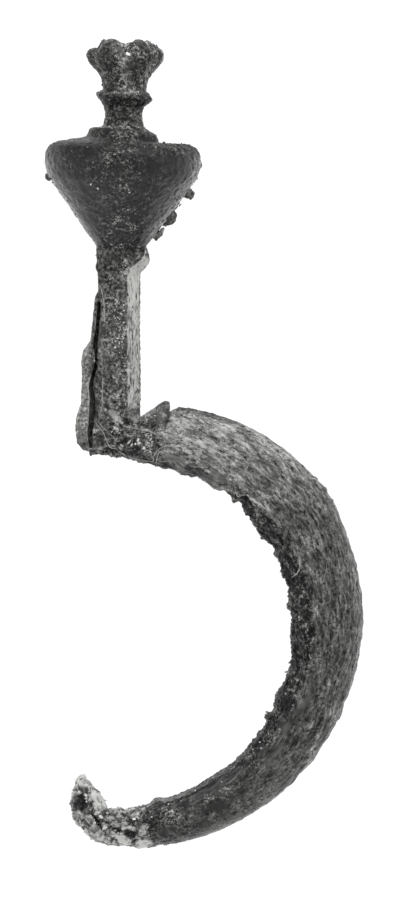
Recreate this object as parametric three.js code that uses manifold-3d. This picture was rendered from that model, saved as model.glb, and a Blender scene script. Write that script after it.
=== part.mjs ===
// A broken bow brooch (fibula) of cast bronze, lying on its side.
// One casting: a swelling C-shaped bow, a straight faceted foot with a pin catch along one edge,
// and a terminal at the end of the foot made of a big conical knob, a ringed neck and a lobed head.
// The spring and pin are lost: the bow ends in a stub that curls up where the first coil broke off.
//
// Everything is drawn in the plane of the brooch's profile: x = 0 is the middle of the foot,
// y = 0 is the underside of the heel where foot and bow meet, y runs up the foot to the terminal,
// and z is across the brooch. The finished solid is then laid down on the table. Millimetres.

import * as THREE from 'three';
import { ConvexGeometry } from 'three/addons/geometries/ConvexGeometry.js';
import { mergeVertices } from 'three/addons/utils/BufferGeometryUtils.js';
import Module from 'manifold-3d';

const wasm = await Module();
wasm.setup();

// Bow: an arc with a round inner edge, thickest and widest at its crown. Angles are degrees from +x.
const BOW_INNER_RADIUS = 15.3;
const BOW_CENTRE_OFFSET = -0.4; // from the middle of the foot to the middle of the inner arc
const BOW_ROOT_ANGLE = 85; // where it is down to the size of the foot
const BOW_ROOT_TAIL = 13; // how much further it runs, inside the heel
const BOW_SHOULDER_ANGLE = 74.5; // where its back steps down towards the root, under the crest
const BOW_SHOULDER_RUN = 4;
const BOW_CROWN_ANGLE = 30;
const BOW_END_ANGLE = -90;
const BOW_ROOT_THICKNESS = 4.25; // before the step
const BOW_SHOULDER_STEP = 1.0;
const BOW_CROWN_THICKNESS = 6.6;
const BOW_END_THICKNESS = 3.4;
const BOW_ROOT_WIDTH = 4.2;
const BOW_CROWN_WIDTH = 8.8;
const BOW_END_WIDTH = 4.6;
const BOW_ROOT_TAPER = { thickness: 1.6, width: 1.4 }; // exponents, 1 is an even taper from the crown
const BOW_END_TAPER = { thickness: 1.25, width: 1.5 };
const BOW_UNDERSIDE_SHARE = 0.55; // width of the flat inner face, as a share of the bow's width
const BOW_BEVEL_SHARE = 0.2; // depth of the bevel from inner face to side, as a share of thickness
const BOW_FULLNESS = 2.4; // exponent of the round outer back, 2 is an ellipse
const BOW_STEP_ANGLE = 3;
const BOW_BACK_STEPS = 8; // faces from the middle of the back to its side

// Heel: the inner edge of the bow hangs a little below its arc beside the foot
const HEEL_DROP = 0.6;
const HEEL_ANGLE = 77;
const HEEL_SPREAD = 9;

// Stub: the first turn of the lost spring, broken across
const STUB_INNER_RADIUS = 1.45;
const STUB_SWEEP = 112;
const STUB_END_THICKNESS = 1.9;
const STUB_END_WIDTH = 2.8;
const STUB_TAPER = { thickness: 1.8, width: 1.2 };
const STUB_STEP_ANGLE = 10;
const STUB_WAIST = 0.45; // how far the inner face is drawn in where the coil began
const STUB_WAIST_SPREAD = 11;
const BREAK_SLANT = 40; // degrees by which the inner side of the stub is broken off shorter
const BREAK_DEPTH = 0.25; // how far the jagged fracture stands up and down
const BREAK_TEETH = 5.4; // points of the cross-section from one tooth of the fracture to the next

// Crest: a low pointed rib across the back of the bow, close to the foot
const CREST_ANGLE = 77.3;
const CREST_HEIGHT = 1.72; // above the stepped root
const CREST_WIDTH = 3.4;
const CREST_LONG_SLOPE = 6; // degrees of bow on the side of the foot
const CREST_SHORT_SLOPE = 1.7;
const CREST_FLAT = 1.2; // degrees of its blunt top
const CREST_TOP_SHARE = 0.5; // length of its top edge, as a share of its width

// Foot: a straight bar, flat in front and behind, with a bevel along its outer edge
const FOOT_LENGTH = 17.1;
const FOOT_WIDTH = 3.55;
const FOOT_DEPTH = 3.8;
const FOOT_BEVEL_WIDTH = 1.05;
const FOOT_BEVEL_DEPTH = 1.35;
const FOOT_EDGE_BEVEL = 0.35;

// Catch: a plate along the inner edge of the foot, turned up into a lip that held the pin
const CATCH_GAP = 2.3; // bare foot between the catch and the terminal
const CATCH_THICKNESS = 2.3;
const CATCH_BACK = 1.2; // from the profile plane to the back of the plate
const CATCH_CORNER = 0.3;
const CATCH_REACH = 2.05; // how far the plate stands out beside the foot near the heel
const CATCH_EDGE = [ // shares of the catch's height and of its reach, up its worn outer edge
  [0.02, 0.62],
  [0.07, 0.93],
  [0.15, 1],
  [0.22, 0.94],
  [0.31, 0.73],
  [0.45, 0.7],
  [0.55, 0.73],
  [0.61, 0.66],
  [0.67, 0.37],
  [0.78, 0.26],
  [0.92, 0.16],
];
const GROOVE_FLOOR = 0.5; // thickness of the plate under the pin groove
const GROOVE_WIDTH = 0.46;
const GROOVE_SHIFT = 0.72; // how far its lower half bends away from the bar
const GROOVE_LINE = [ // shares of the catch's height, of the shift and of the groove's width
  [0.04, 1.2, 0.55],
  [0.14, 1.2, 0.95],
  [0.24, 0.9, 1.15],
  [0.32, 0.85, 1.15],
  [0.4, 1.12, 0.95],
  [0.44, 1.08, 0.85],
  [0.5, 0.66, 0.8],
  [0.56, 0.6, 0.45],
  [0.65, 0.64, 0.7],
  [0.73, 0.36, 0.8],
  [0.82, 0.2, 0.85],
  [0.91, 0.2, 0.55],
  [0.97, 0.2, 0.3],
];

// Terminal: a collar where the foot flares out, then conical knob, disc, neck, ring and lobed head, turned about one axis
const TERMINAL_OFFSET = 0.12; // from the middle of the foot
const TERMINAL_LEAN = 1.3; // degrees, away from the pin
const COLLAR_HEIGHT = 2.45;
const COLLAR_RISE = 0.9; // how much of it stands beyond the end of the foot
const COLLAR_REACH = 0.85; // how far it stands out from the outer edge of the foot
const COLLAR_SWELL = 0.2; // and from its other three sides
const COLLAR_LINE = [ // shares of its height, of its reach and of its swell, and how far its front covers
  [0, 0, 0, 0], // the bevel, as a share of the bevel's width
  [0.14, 0.12, 0.5, 0.12],
  [0.25, 0.5, 1, 0.2],
  [0.37, 0.84, 1, 0.45],
  [0.53, 1, 0.6, 0.95],
  [0.7, 0.92, 0.8, 1.35],
  [0.88, 0.74, 0.9, 1.55],
  [1, 0.5, 0.9, 1.45],
];
const KNOB_ROOT = 0.4; // how far the knob is let down into the collar
const KNOB_ROOT_SHARE = 0.85; // its radius down there, as a share of the cone's foot
const KNOB_FOOT_RADIUS = 2.1;
const KNOB_RADIUS = 6.75;
const KNOB_CONE_HEIGHT = 5.9;
const KNOB_CONE_SHARE = 0.94; // radius where the cone turns into the shoulder, as a share
const KNOB_SHOULDER_HEIGHT = 3.1;
const KNOB_SHOULDER_PULL = [[1.02, 0.35], [1.05, 0.9]]; // its curve's handles, shares of radius and height
const KNOB_TOP_SHARE = 0.84; // radius of the slightly domed top, as a share
const KNOB_TOP_RISE = 0.45;
const DISC_RADIUS = 2.95;
const DISC_HEIGHT = 0.8;
const DISC_EDGE = 0.2; // bevel around its top, and flare at its foot
const DISC_WEAR = 0.5; // how far its edge is worn down on the side away from the pin
const NECK_RADIUS = 1.62;
const NECK_HEIGHT = 2.1;
const NECK_FILLET = 0.3;
const RING_RADIUS = 2.42;
const RING_UNDERSIDE = 0.5; // height of its sloping underside
const RING_EDGE = 0.25;
const RING_TOP = 0.35; // height of the slope from its edge in to the throat
const RING_LEAN = 4; // degrees, down on the side away from the pin
const THROAT_RADIUS = 1.88;
const THROAT_HEIGHT = 0.3;
const HEAD_RADIUS = 3.35;
const HEAD_FLARE_HEIGHT = 2.65;
const HEAD_FLARE_PULL = [[0.56, 0.55], [1, 0.68]]; // its curve's handles, shares of head radius and height
const HEAD_LIP_HEIGHT = 1.52;
const HEAD_RIM_RADIUS = 2.0; // the highest circle of the head, around its dished top
const HEAD_DISH_DEPTH = 0.5;
const LOBES = 6;
const LOBE_DEPTH = 0.7; // how deep the clefts between the lobes cut in
const LOBE_NOTCH = 0.6; // how far the clefts drop below the tops of the lobes
const CLEFT_SHARPNESS = 2; // exponents of the clefts: across, and up towards the rim
const CLEFT_RUN = 4;
const TURNED_SEGMENTS = 48;
const CURVE_STEPS = 5;

// Corrosion lumps on the knob: height above the collar as a share of the cone's height, radius as a
// share of the knob's, and degrees around from +x
const LUMPS = [
  [1.23, 0.076, -8],
  [1.05, 0.05, -14],
  [0.81, 0.085, -10],
  [0.6, 0.042, -12],
  [0.44, 0.11, -14],
  [0.19, 0.085, -10],
  [1, 0.052, 186],
];
const LUMP_SINK = 0.35; // share of a lump's radius that is in the knob
const LUMP_STRETCH = 1.2; // longer up the knob than across
const LUMP_TURN = 35; // degrees by which each broken lump is turned from the one before

// Laying down: the flats worn where the brooch touches the table
const FLAT_DEPTH = 0.08;

const MERGE_DISTANCE = 1e-5; // points nearer than this are one

const BRONZE = new THREE.MeshStandardMaterial({ color: 0x3f3f3c, roughness: 0.55, metalness: 0.45 });

const radians = THREE.MathUtils.degToRad;
const bowCentre = new THREE.Vector2(BOW_CENTRE_OFFSET, -BOW_INNER_RADIUS);
const bowStart = BOW_ROOT_ANGLE + BOW_ROOT_TAIL;
const catchTop = FOOT_LENGTH - CATCH_GAP;
const collarTop = FOOT_LENGTH + COLLAR_RISE;

// A closed geometry as a solid that can be joined and cut.
function solidOf(geometry) {
  const bare = new THREE.BufferGeometry();
  bare.setAttribute('position', geometry.getAttribute('position').clone());
  bare.setIndex(geometry.getIndex());
  const merged = mergeVertices(bare, MERGE_DISTANCE);
  const index = merged.getIndex().array;
  const kept = [];
  for (let i = 0; i < index.length; i += 3) {
    const [a, b, c] = [index[i], index[i + 1], index[i + 2]];
    if (a !== b && b !== c && c !== a) kept.push(a, b, c);
  }
  return new wasm.Manifold(new wasm.Mesh({
    numProp: 3,
    vertProperties: new Float32Array(merged.getAttribute('position').array),
    triVerts: new Uint32Array(kept),
  }));
}

function geometryOf(solid) {
  const mesh = solid.getMesh();
  const geometry = new THREE.BufferGeometry();
  geometry.setAttribute('position', new THREE.BufferAttribute(mesh.vertProperties, 3));
  geometry.setIndex(new THREE.BufferAttribute(mesh.triVerts, 1));
  return geometry;
}

// A closed skin over rings of points, with a flat fan over each end.
function loft(rings) {
  const count = rings[0].length;
  const positions = rings.flat().flatMap((point) => point.toArray());
  const index = [];
  for (let r = 0; r + 1 < rings.length; r++) {
    for (let i = 0; i < count; i++) {
      const j = (i + 1) % count;
      const [a, b, c, d] = [r * count + i, r * count + j, (r + 1) * count + j, (r + 1) * count + i];
      index.push(a, c, b, a, d, c);
    }
  }
  for (const [ring, first] of [[rings[0], 0], [rings.at(-1), (rings.length - 1) * count]]) {
    const middle = new THREE.Vector3();
    ring.forEach((point) => middle.addScaledVector(point, 1 / count));
    const centre = positions.length / 3;
    positions.push(...middle.toArray());
    for (let i = 0; i < count; i++) {
      const j = (i + 1) % count;
      index.push(...(first === 0 ? [centre, first + i, first + j] : [centre, first + j, first + i]));
    }
  }
  const geometry = new THREE.BufferGeometry();
  geometry.setAttribute('position', new THREE.Float32BufferAttribute(positions, 3));
  geometry.setIndex(index);
  return geometry;
}

// The size between two places, for share 0 at the first to 1 at the second.
function tapered(from, to, share, power) {
  return from + (to - from) * share ** power;
}

// How far the inner face lies inside its arc: out at the heel, and drawn in at the stub's waist.
function innerDrop(angle) {
  const heel = HEEL_DROP * Math.exp(-(((angle - HEEL_ANGLE) / HEEL_SPREAD) ** 2));
  const waist = STUB_WAIST * Math.exp(-(((angle - BOW_END_ANGLE) / STUB_WAIST_SPREAD) ** 2));
  return heel - waist;
}

// Thickness and width of the bow at an angle of its arc.
function bowSize(angle) {
  if (angle > BOW_CROWN_ANGLE) {
    const share = Math.min((angle - BOW_CROWN_ANGLE) / (BOW_ROOT_ANGLE - BOW_CROWN_ANGLE), 1);
    const shoulderEnd = BOW_SHOULDER_ANGLE + BOW_SHOULDER_RUN;
    const step = BOW_SHOULDER_STEP * THREE.MathUtils.smoothstep(angle, BOW_SHOULDER_ANGLE, shoulderEnd);
    return {
      thickness: tapered(BOW_CROWN_THICKNESS, BOW_ROOT_THICKNESS, share, BOW_ROOT_TAPER.thickness) - step,
      width: tapered(BOW_CROWN_WIDTH, BOW_ROOT_WIDTH, share, BOW_ROOT_TAPER.width),
    };
  }
  const share = (BOW_CROWN_ANGLE - angle) / (BOW_CROWN_ANGLE - BOW_END_ANGLE);
  return {
    thickness: tapered(BOW_CROWN_THICKNESS, BOW_END_THICKNESS, share, BOW_END_TAPER.thickness),
    width: tapered(BOW_CROWN_WIDTH, BOW_END_WIDTH, share, BOW_END_TAPER.width),
  };
}

// One cross-section of the bow: flat inner face, a bevel on each side, and a full round back.
// With a slant the section isn't square to the bow: its inner face lags behind its back.
function bowRing(centre, angle, innerRadius, thickness, width, slant = 0) {
  const half = width / 2;
  const side = [[0, half * BOW_UNDERSIDE_SHARE]];
  for (let i = 0; i <= BOW_BACK_STEPS; i++) {
    const last = i === BOW_BACK_STEPS;
    const turn = (i / BOW_BACK_STEPS) * Math.PI / 2;
    const out = last ? 1 : Math.sin(turn) ** (2 / BOW_FULLNESS);
    const across = last ? 0 : Math.cos(turn) ** (2 / BOW_FULLNESS);
    side.push([thickness * (BOW_BEVEL_SHARE + (1 - BOW_BEVEL_SHARE) * out), half * across]);
  }
  const far = side.slice(0, -1).reverse().map(([out, across]) => [out, -across]);
  return [...side, ...far].map(([out, across]) => {
    const reach = innerRadius + out;
    const place = radians(angle + slant * (1 - out / thickness));
    return new THREE.Vector3(centre.x + reach * Math.cos(place), centre.y + reach * Math.sin(place), across);
  });
}

// The bow from the heel to its thin end, and on round the stub of the spring to the fracture.
function bow() {
  const rings = [];
  for (let angle = bowStart; angle > BOW_END_ANGLE; angle -= BOW_STEP_ANGLE) {
    const { thickness, width } = bowSize(angle);
    const drop = innerDrop(angle);
    rings.push(bowRing(bowCentre, angle, BOW_INNER_RADIUS - drop, thickness + drop, width));
  }
  const inward = BOW_INNER_RADIUS - STUB_INNER_RADIUS;
  const stubCentre = new THREE.Vector2(
    bowCentre.x + inward * Math.cos(radians(BOW_END_ANGLE)),
    bowCentre.y + inward * Math.sin(radians(BOW_END_ANGLE)),
  );
  const steps = Math.ceil(STUB_SWEEP / STUB_STEP_ANGLE);
  for (let i = 0; i <= steps; i++) {
    const share = i / steps;
    const thickness = tapered(BOW_END_THICKNESS, STUB_END_THICKNESS, share, STUB_TAPER.thickness);
    const width = tapered(BOW_END_WIDTH, STUB_END_WIDTH, share, STUB_TAPER.width);
    const angle = BOW_END_ANGLE - STUB_SWEEP * share;
    const drop = innerDrop(BOW_END_ANGLE - STUB_WAIST_SPREAD * 2 * share);
    const slant = BREAK_SLANT * share;
    rings.push(bowRing(stubCentre, angle, STUB_INNER_RADIUS - drop, thickness + drop, width, slant));
  }
  const along = radians(BOW_END_ANGLE - STUB_SWEEP - 90);
  rings.at(-1).forEach((point, i) => {
    const turn = (i / BREAK_TEETH) * Math.PI * 2;
    const jag = BREAK_DEPTH * (Math.sin(turn) + Math.cos(turn * BREAK_TEETH / 3)) / 2;
    point.x += jag * Math.cos(along);
    point.y += jag * Math.sin(along);
  });
  return solidOf(loft(rings));
}

function crest() {
  const root = BOW_INNER_RADIUS + bowSize(CREST_ANGLE + CREST_LONG_SLOPE).thickness;
  const corners = [];
  for (const [angle, rise, widthShare] of [
    [CREST_ANGLE + CREST_LONG_SLOPE, 0, 1],
    [CREST_ANGLE - CREST_SHORT_SLOPE, 0, 1],
    [CREST_ANGLE + CREST_FLAT / 2, CREST_HEIGHT, CREST_TOP_SHARE],
    [CREST_ANGLE - CREST_FLAT / 2, CREST_HEIGHT, CREST_TOP_SHARE],
    [CREST_ANGLE + CREST_LONG_SLOPE, -CREST_HEIGHT, 1],
    [CREST_ANGLE - CREST_SHORT_SLOPE, -CREST_HEIGHT, 1],
  ]) {
    for (const side of [-1, 1]) {
      corners.push(new THREE.Vector3(
        bowCentre.x + (root + rise) * Math.cos(radians(angle)),
        bowCentre.y + (root + rise) * Math.sin(radians(angle)),
        side * widthShare * CREST_WIDTH / 2,
      ));
    }
  }
  return solidOf(new ConvexGeometry(corners));
}

function shapeOf(points) {
  return new THREE.Shape(points.map(([x, y]) => new THREE.Vector2(x, y)));
}

// The foot's cross-section. It can reach out at its bevelled edge, swell on the other sides, and have
// its front cover a part of the bevel.
function footOutline(reach = 0, swell = 0, cover = 0) {
  const half = FOOT_WIDTH / 2;
  const deep = FOOT_DEPTH / 2 + swell;
  const front = [
    [half + reach, FOOT_DEPTH / 2 - FOOT_BEVEL_DEPTH],
    [half - FOOT_BEVEL_WIDTH + cover, deep],
    [-half - swell + FOOT_EDGE_BEVEL, deep],
    [-half - swell, deep - FOOT_EDGE_BEVEL],
  ];
  const back = front.map(([x, z]) => [x, -z]).reverse();
  return [...front, ...back];
}

function foot() {
  const bar = new THREE.ExtrudeGeometry(shapeOf(footOutline()), {
    depth: FOOT_LENGTH,
    steps: 1,
    bevelEnabled: false,
  });
  return solidOf(bar.rotateX(-Math.PI / 2));
}

// Below the knob the foot flares out, most at its bevelled edge.
function collar() {
  const base = collarTop - COLLAR_HEIGHT;
  return solidOf(loft(COLLAR_LINE.map(([height, reach, swell, cover]) => (
    footOutline(reach * COLLAR_REACH, swell * COLLAR_SWELL, cover * FOOT_BEVEL_WIDTH)
      .map(([x, z]) => new THREE.Vector3(x, base + height * COLLAR_HEIGHT, z))
  ))));
}

// The plate's worn edge runs out from the foot in two steps, the upper one over the pinched groove.
function catchPlate() {
  const edge = -FOOT_WIDTH / 2;
  const worn = CATCH_EDGE.map(([height, reach]) => [edge - reach * CATCH_REACH, height * catchTop]);
  const outline = [
    [0, CATCH_CORNER],
    ...worn,
    [edge + CATCH_CORNER, catchTop],
    [0, catchTop],
  ];
  const plate = new THREE.ExtrudeGeometry(shapeOf(outline.reverse()), {
    depth: CATCH_THICKNESS - 2 * CATCH_CORNER,
    steps: 1,
    bevelThickness: CATCH_CORNER,
    bevelSize: CATCH_CORNER,
    bevelOffset: -CATCH_CORNER,
    bevelSegments: 2,
  });
  return solidOf(plate.translate(0, 0, CATCH_CORNER - CATCH_BACK));
}

// The slot between lip and foot where the pin lay: narrow at the top, pinched half way, open below.
function pinGroove() {
  const wall = -FOOT_WIDTH / 2 + FOOT_EDGE_BEVEL;
  const inner = GROOVE_LINE.map(([height, shift]) => [wall - shift * GROOVE_SHIFT, height * catchTop]);
  const outer = inner.map(([x, y], i) => [x - GROOVE_LINE[i][2] * GROOVE_WIDTH, y]);
  const cutter = new THREE.ExtrudeGeometry(shapeOf([...inner, ...outer.reverse()]), {
    depth: CATCH_THICKNESS + FOOT_DEPTH,
    steps: 1,
    bevelEnabled: false,
  });
  return solidOf(cutter.translate(0, 0, GROOVE_FLOOR - CATCH_BACK));
}

// The radius of the knob's cone at a height above the collar.
function coneRadius(height) {
  const share = Math.min(height / KNOB_CONE_HEIGHT, 1);
  return KNOB_FOOT_RADIUS + (KNOB_RADIUS * KNOB_CONE_SHARE - KNOB_FOOT_RADIUS) * share;
}

// Half of the terminal's outline, from the middle of the knob's root to the middle of the head's top.
function terminalProfile() {
  const shoulder = collarTop + KNOB_CONE_HEIGHT;
  const knobTop = shoulder + KNOB_SHOULDER_HEIGHT;
  const discBase = knobTop + KNOB_TOP_RISE;
  const neckBase = discBase + DISC_HEIGHT;
  const ringBase = neckBase + NECK_HEIGHT;
  const ringEdge = ringBase + RING_UNDERSIDE;
  const throat = ringEdge + RING_EDGE + RING_TOP;
  const flare = throat + THROAT_HEIGHT;
  const lip = flare + HEAD_FLARE_HEIGHT;
  const top = lip + HEAD_LIP_HEIGHT;
  const dish = top - HEAD_DISH_DEPTH;
  const line = new THREE.Path();
  line.moveTo(0, collarTop - KNOB_ROOT);
  line.lineTo(KNOB_FOOT_RADIUS * KNOB_ROOT_SHARE, collarTop - KNOB_ROOT);
  line.lineTo(KNOB_FOOT_RADIUS, collarTop);
  line.lineTo(coneRadius(KNOB_CONE_HEIGHT), shoulder);
  line.bezierCurveTo(
    ...KNOB_SHOULDER_PULL.flatMap(([out, up]) => [KNOB_RADIUS * out, shoulder + KNOB_SHOULDER_HEIGHT * up]),
    KNOB_RADIUS * KNOB_TOP_SHARE, knobTop,
  );
  line.lineTo(DISC_RADIUS + DISC_EDGE, discBase);
  line.lineTo(DISC_RADIUS, neckBase - DISC_EDGE);
  line.lineTo(DISC_RADIUS - DISC_EDGE, neckBase);
  line.lineTo(NECK_RADIUS + NECK_FILLET, neckBase);
  line.quadraticCurveTo(NECK_RADIUS, neckBase + NECK_FILLET, NECK_RADIUS, neckBase + NECK_HEIGHT / 2);
  line.quadraticCurveTo(NECK_RADIUS, ringBase - NECK_FILLET, NECK_RADIUS + NECK_FILLET, ringBase);
  line.lineTo(RING_RADIUS, ringEdge);
  line.lineTo(RING_RADIUS, ringEdge + RING_EDGE);
  line.lineTo(THROAT_RADIUS, throat);
  line.lineTo(THROAT_RADIUS, flare);
  line.bezierCurveTo(
    ...HEAD_FLARE_PULL.flatMap(([out, up]) => [HEAD_RADIUS * out, flare + HEAD_FLARE_HEIGHT * up]),
    HEAD_RADIUS, lip,
  );
  line.bezierCurveTo(
    HEAD_RADIUS, lip + HEAD_LIP_HEIGHT / 2,
    (HEAD_RADIUS + HEAD_RIM_RADIUS) / 2, top,
    HEAD_RIM_RADIUS, top,
  );
  line.quadraticCurveTo(HEAD_RIM_RADIUS / 2, dish, 0, dish);
  return { points: line.getPoints(CURVE_STEPS), discBase, neckBase, ringBase, throat, top };
}

// Knob to head in one turning: the disc worn down on one side, the ring set askew, and the head cut
// into lobes by clefts that run up to the top.
function terminal() {
  const { points, discBase, neckBase, ringBase, throat, top } = terminalProfile();
  const turned = new THREE.LatheGeometry(points, TURNED_SEGMENTS);
  const position = turned.getAttribute('position');
  for (let i = 0; i < position.count; i++) {
    const [x, y, z] = [position.getX(i), position.getY(i), position.getZ(i)];
    const onDiscTop = y > discBase && y <= neckBase && Math.hypot(x, z) > DISC_RADIUS - 2 * DISC_EDGE;
    if (onDiscTop && x > 0) position.setY(i, y - DISC_WEAR * x / DISC_RADIUS);
    if (y > ringBase && y < throat) position.setY(i, y - x * Math.tan(radians(RING_LEAN)));
    const rise = (y - throat) / (top - throat);
    if (rise <= 0) continue;
    const radius = Math.hypot(x, z);
    const around = Math.atan2(x, z);
    const across = (1 - Math.abs(Math.sin(around * LOBES / 2))) ** CLEFT_SHARPNESS;
    const cleft = across * radius / HEAD_RADIUS;
    const share = radius > 0 ? 1 - LOBE_DEPTH * cleft * rise / radius : 1;
    position.setXYZ(i, x * share, y - LOBE_NOTCH * cleft * rise ** CLEFT_RUN, z * share);
  }
  return solidOf(stood(turned));
}

function lumps() {
  return LUMPS.map(([heightShare, radiusShare, around], i) => {
    const height = heightShare * KNOB_CONE_HEIGHT;
    const radius = radiusShare * KNOB_RADIUS;
    const reach = coneRadius(height) + radius * (1 - 2 * LUMP_SINK);
    const lump = i % 2 ? new THREE.OctahedronGeometry(radius) : new THREE.DodecahedronGeometry(radius);
    lump.scale(1, LUMP_STRETCH, 1);
    lump.rotateZ(radians(i * LUMP_TURN));
    lump.translate(
      reach * Math.cos(radians(around)),
      collarTop + height,
      reach * Math.sin(radians(around)),
    );
    return solidOf(stood(lump));
  });
}

// Puts something drawn about the terminal's own axis onto the end of the foot, leaning.
function stood(geometry) {
  return geometry
    .translate(0, -FOOT_LENGTH, 0)
    .rotateZ(-radians(TERMINAL_LEAN))
    .translate(TERMINAL_OFFSET, FOOT_LENGTH, 0);
}

function centroidOf(geometry) {
  const position = geometry.getAttribute('position');
  const index = geometry.getIndex().array;
  const [a, b, c] = [new THREE.Vector3(), new THREE.Vector3(), new THREE.Vector3()];
  const centre = new THREE.Vector3();
  let volume = 0;
  for (let i = 0; i < index.length; i += 3) {
    a.fromBufferAttribute(position, index[i]);
    b.fromBufferAttribute(position, index[i + 1]);
    c.fromBufferAttribute(position, index[i + 2]);
    const part = a.dot(b.clone().cross(c)) / 6;
    volume += part;
    centre.addScaledVector(a.add(b).add(c), part / 4);
  }
  return centre.divideScalar(volume);
}

// The plane that three lowest points make under the centre of mass. A triangle far below and all round
// would hold everything, so it starts there and is raised, one corner at a time, until it touches.
function tableUnder(geometry) {
  const position = geometry.getAttribute('position');
  const centre = centroidOf(geometry);
  const inside = (p, q, r) => {
    const turn = (u, v) => (v.x - u.x) * (centre.y - u.y) - (v.y - u.y) * (centre.x - u.x);
    const turns = [turn(p, q), turn(q, r), turn(r, p)];
    return turns.every((t) => t >= 0) || turns.every((t) => t <= 0);
  };
  const far = 1000;
  const touching = 1e-6;
  let feet = [90, 210, 330].map((angle) => new THREE.Vector3(
    centre.x + far * Math.cos(radians(angle)),
    centre.y + far * Math.sin(radians(angle)),
    far,
  ));
  const plane = new THREE.Plane();
  for (;;) {
    plane.setFromCoplanarPoints(...feet);
    if (plane.normal.z < 0) plane.negate();
    let lowest = null;
    let depth = touching;
    for (let i = 0; i < position.count; i++) {
      const point = new THREE.Vector3().fromBufferAttribute(position, i);
      const below = -plane.distanceToPoint(point);
      if (below > depth) [lowest, depth] = [point, below];
    }
    if (!lowest) return plane;
    feet = [0, 1, 2]
      .map((gone) => feet.map((point, i) => (i === gone ? lowest : point)))
      .find((three) => inside(...three));
  }
}

// Turned so that the table is level, cut flat where it touches, and centred over the origin.
function laidDown(solid) {
  const geometry = geometryOf(solid);
  const table = tableUnder(geometry);
  const level = new THREE.Quaternion().setFromUnitVectors(table.normal, new THREE.Vector3(0, 0, 1));
  geometry.applyQuaternion(level);
  geometry.computeBoundingBox();
  const { min, max } = geometry.boundingBox;
  const size = max.clone().sub(min);
  const slab = new THREE.BoxGeometry(size.x * 2, size.y * 2, size.z);
  slab.translate((min.x + max.x) / 2, (min.y + max.y) / 2, min.z + FLAT_DEPTH - size.z / 2);
  const flat = geometryOf(solidOf(geometry).subtract(solidOf(slab)));
  flat.computeBoundingBox();
  const box = flat.boundingBox;
  return flat.translate(-(box.min.x + box.max.x) / 2, -(box.min.y + box.max.y) / 2, -box.min.z);
}

const casting = [bow(), crest(), foot(), catchPlate(), collar(), terminal(), ...lumps()]
  .reduce((whole, piece) => whole.add(piece))
  .subtract(pinGroove());

const brooch = new THREE.Mesh(laidDown(casting), BRONZE);
brooch.name = 'brooch';

const group = new THREE.Group();
group.add(brooch);
export default group;
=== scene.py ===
import math

import bmesh
import bpy
import numpy as np
from mathutils import Matrix, Vector, noise
from mathutils.bvhtree import BVHTree


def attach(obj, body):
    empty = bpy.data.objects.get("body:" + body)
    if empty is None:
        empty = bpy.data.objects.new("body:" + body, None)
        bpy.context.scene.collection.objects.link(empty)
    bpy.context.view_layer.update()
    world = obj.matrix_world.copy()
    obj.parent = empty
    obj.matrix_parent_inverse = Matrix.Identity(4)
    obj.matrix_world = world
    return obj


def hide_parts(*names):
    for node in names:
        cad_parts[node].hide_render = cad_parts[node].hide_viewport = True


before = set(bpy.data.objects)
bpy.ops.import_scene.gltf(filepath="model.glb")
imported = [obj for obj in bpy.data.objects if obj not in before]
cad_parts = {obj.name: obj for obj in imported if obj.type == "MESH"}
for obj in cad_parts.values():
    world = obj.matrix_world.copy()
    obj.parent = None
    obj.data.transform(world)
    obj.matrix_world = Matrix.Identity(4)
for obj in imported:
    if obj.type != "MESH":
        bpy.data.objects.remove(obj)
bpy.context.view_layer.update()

# The casting: bow, foot with its pin catch, and terminal are one piece of bronze, cast and then filed.
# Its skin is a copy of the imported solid, cut fine and roughened: grain and corrosion on the knob and the
# foot, long pits drawn out round the bow, bites out of its inner edge, a crusted break at the stub.
MM = 0.001
BOW_CENTRE = (-7.76, -16.1)  # of its inner arc, in mm as every size here
BOW_INNER_RADIUS = 15.3
BOW_MIDDLE_RADIUS = 17.5
KNOB_AXIS = (-6.94, 25.0, 6.64)  # a point in the middle of the knob
AXIS_SLOPE = (0.0227, 0.0644)  # how far the terminal's axis moves in x and z for each mm of y
SKIN_CELL = 0.105
SKIN_TRIANGLES = 196000
INNER_WEAR = 0.12  # worn off the inner edge of the bow, beside the bites and lumps that follow
INNER_BUMPS = (  # angle round the bow, half length in degrees, rise towards the middle in mm
    (-87, 5, -0.25), (-76, 2.2, 0.25), (-66, 7, -0.1), (-47, 6, -0.12), (-29.5, 1.3, 0.42),
    (-22.5, 4.5, 0.28),
    (-10.5, 3.5, -0.12), (0, 2.5, 0.14), (7.4, 1.2, 0.26), (14.5, 1.6, -0.14), (17.6, 0.7, 0.14),
    (21.3, 0.9, -0.14), (27, 1.5, -0.2), (35, 4.5, 0.2), (45.2, 1.0, -0.3), (47.2, 0.8, 0.14),
    (50.6, 1.4, -0.18), (57, 3.5, 0.16), (66, 3, 0.3),
)
OUTER_BUMPS = (
    (-84, 7, 0.14), (-78, 0.8, -0.1), (-21, 1.2, 0.14), (3, 7, 0.12), (30.6, 0.4, 0.12), (32, 4.5, 0.1),
    (33.6, 0.5, 0.12), (36.8, 0.6, 0.14), (70, 4, 0.14),
)
BUMP_SHARPNESS = 4  # exponent of their ends: 2 is a soft bell
STUB_MOUNDS = (  # a shoulder and a dent at the broken tip: middle, rise in mm, square of the half width
    (-9.95, -29.2, 0.5, 0.35), (-8.7, -29.9, -0.14, 0.3),
)
SHADE_BAND = (0.9, 1.0)  # width of the dark band along the inner edge, and how much wider it is half way
CRUST_CELL = 0.8  # size of the blocks that the crust on the stub broke into
SWIRL = (-7.66, 3.55)  # middle of a ring-shaped scar at the lower end of the foot
SIDE_LOBE_DROPS = (0.5, 0.24)  # how much lower the left and right lobes of the head are than the others
CLEFT_DROP = 0.24  # and how much lower it is beside the cleft in the middle

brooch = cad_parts["brooch"]


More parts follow.
